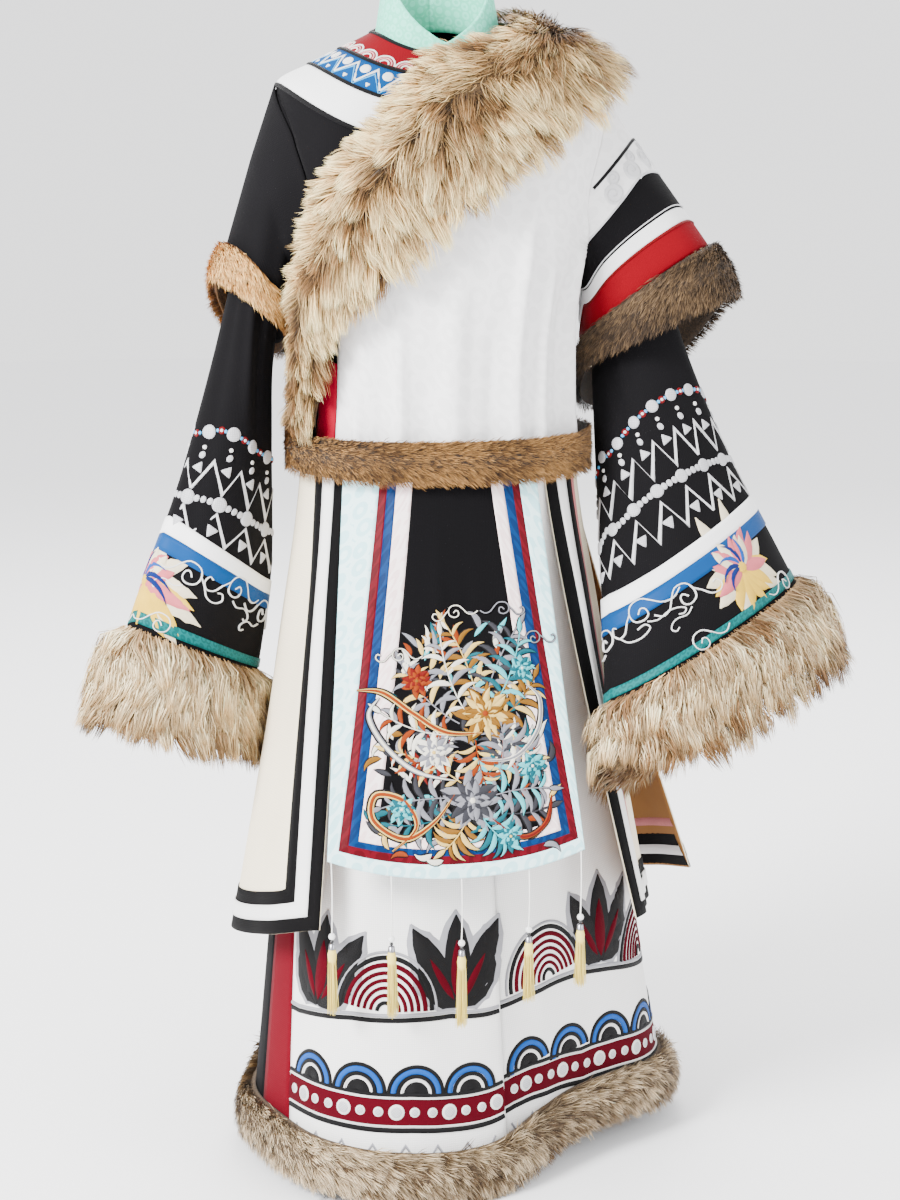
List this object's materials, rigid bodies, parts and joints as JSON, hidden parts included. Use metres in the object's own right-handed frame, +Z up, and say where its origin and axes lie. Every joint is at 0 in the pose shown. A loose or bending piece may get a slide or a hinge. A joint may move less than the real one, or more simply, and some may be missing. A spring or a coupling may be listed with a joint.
{
  "type": "tibetan robe",
  "caption": "Layered winter robe in worn form, hollow, with a diagonal long-fur collar, fur cuffs, belt and hem, a banded apron with tassels and wide sleeves.",
  "frame": {"origin": "middle of the neck base, level with the top of the shoulders, where the garment bears on the wearer", "axes": "+Z up, -Y the wearer's front, +X the wearer's left"},
  "size_m": [0.9108, 0.5607, 1.3816],
  "materials": {
    "underrobe_front": "matte woven cloth",
    "underrobe_back": "matte woven cloth",
    "left_sleeve": "matte woven cloth",
    "right_sleeve": "matte woven cloth",
    "right_oversleeve": "matte woven cloth",
    "yoke_red": "matte",
    "yoke_blue": "matte",
    "yoke_white": "matte",
    "inner_collar_left": "satin",
    "inner_collar_right": "satin",
    "overrobe_front": "matte brocade",
    "overrobe_back": "matte brocade",
    "left_oversleeve_top": "matte brocade",
    "front_edge_strip": "matte",
    "left_ribbon_white": "matte",
    "right_ribbon_white": "matte",
    "left_ribbon_blue": "satin",
    "right_ribbon_blue": "satin",
    "left_ribbon_teal": "satin",
    "right_ribbon_teal": "satin",
    "left_oversleeve_black": "matte",
    "left_oversleeve_white": "matte",
    "left_oversleeve_red": "satin",
    "left_oversleeve_fur": "short fur",
    "right_oversleeve_fur": "short fur",
    "left_cuff_fur": "long fur",
    "right_cuff_fur": "long fur",
    "fur_collar_front": "long fur",
    "fur_collar_back": "long fur",
    "fur_belt": "short fur",
    "hem_fur": "short fur",
    "skirt_front_right": "matte",
    "skirt_front_left": "matte",
    "skirt_band_right": "matte",
    "skirt_band_left": "matte",
    "skirt_back": "matte",
    "robe_skirt_right": "matte",
    "robe_skirt_left": "matte",
    "robe_skirt_back": "matte",
    "robe_border_right": "matte",
    "robe_border_left": "matte",
    "robe_border_back": "matte",
    "robe_ribbon_right": "matte",
    "robe_ribbon_left": "matte",
    "robe_ribbon_back": "matte",
    "apron_centre": "matte",
    "apron_pink": "matte",
    "apron_blue": "matte",
    "apron_red": "matte",
    "apron_border": "satin",
    "tassel_thread_1": "matte",
    "tassel_1": "silky thread",
    "tassel_thread_2": "matte",
    "tassel_2": "silky thread",
    "tassel_thread_3": "matte",
    "tassel_3": "silky thread",
    "tassel_thread_4": "matte",
    "tassel_4": "silky thread",
    "tassel_thread_5": "matte",
    "tassel_5": "silky thread"
  },
  "bodies": {
    "root": {"underrobe_front": "underrobe_front", "underrobe_back": "underrobe_back", "left_sleeve": "left_sleeve", "right_sleeve": "right_sleeve", "right_oversleeve": "right_oversleeve", "yoke_red": "yoke_red", "yoke_blue": "yoke_blue", "yoke_white": "yoke_white", "inner_collar_left": "inner_collar_left", "inner_collar_right": "inner_collar_right", "overrobe_front": "overrobe_front", "overrobe_back": "overrobe_back", "left_oversleeve_top": "left_oversleeve_top", "front_edge_strip": "front_edge_strip", "left_ribbon_white": "left_ribbon_white", "right_ribbon_white": "right_ribbon_white", "left_ribbon_blue": "left_ribbon_blue", "right_ribbon_blue": "right_ribbon_blue", "left_ribbon_teal": "left_ribbon_teal", "right_ribbon_teal": "right_ribbon_teal", "left_oversleeve_black": "left_oversleeve_black", "left_oversleeve_white": "left_oversleeve_white", "left_oversleeve_red": "left_oversleeve_red", "left_oversleeve_fur": "left_oversleeve_fur", "right_oversleeve_fur": "right_oversleeve_fur", "left_cuff_fur": "left_cuff_fur", "right_cuff_fur": "right_cuff_fur", "fur_collar_front": "fur_collar_front", "fur_collar_back": "fur_collar_back", "fur_belt": "fur_belt", "hem_fur": "hem_fur", "skirt_front_right": "skirt_front_right", "skirt_front_left": "skirt_front_left", "skirt_band_right": "skirt_band_right", "skirt_band_left": "skirt_band_left", "skirt_back": "skirt_back", "robe_skirt_right": "robe_skirt_right", "robe_skirt_left": "robe_skirt_left", "robe_skirt_back": "robe_skirt_back", "robe_border_right": "robe_border_right", "robe_border_left": "robe_border_left", "robe_border_back": "robe_border_back", "robe_ribbon_right": "robe_ribbon_right", "robe_ribbon_left": "robe_ribbon_left", "robe_ribbon_back": "robe_ribbon_back", "apron_centre": "apron_centre", "apron_pink": "apron_pink", "apron_blue": "apron_blue", "apron_red": "apron_red", "apron_border": "apron_border", "tassel_thread_1": "tassel_thread_1", "tassel_1": "tassel_1", "tassel_thread_2": "tassel_thread_2", "tassel_2": "tassel_2", "tassel_thread_3": "tassel_thread_3", "tassel_3": "tassel_3", "tassel_thread_4": "tassel_thread_4", "tassel_4": "tassel_4", "tassel_thread_5": "tassel_thread_5", "tassel_5": "tassel_5"}
  },
  "joints": []
}
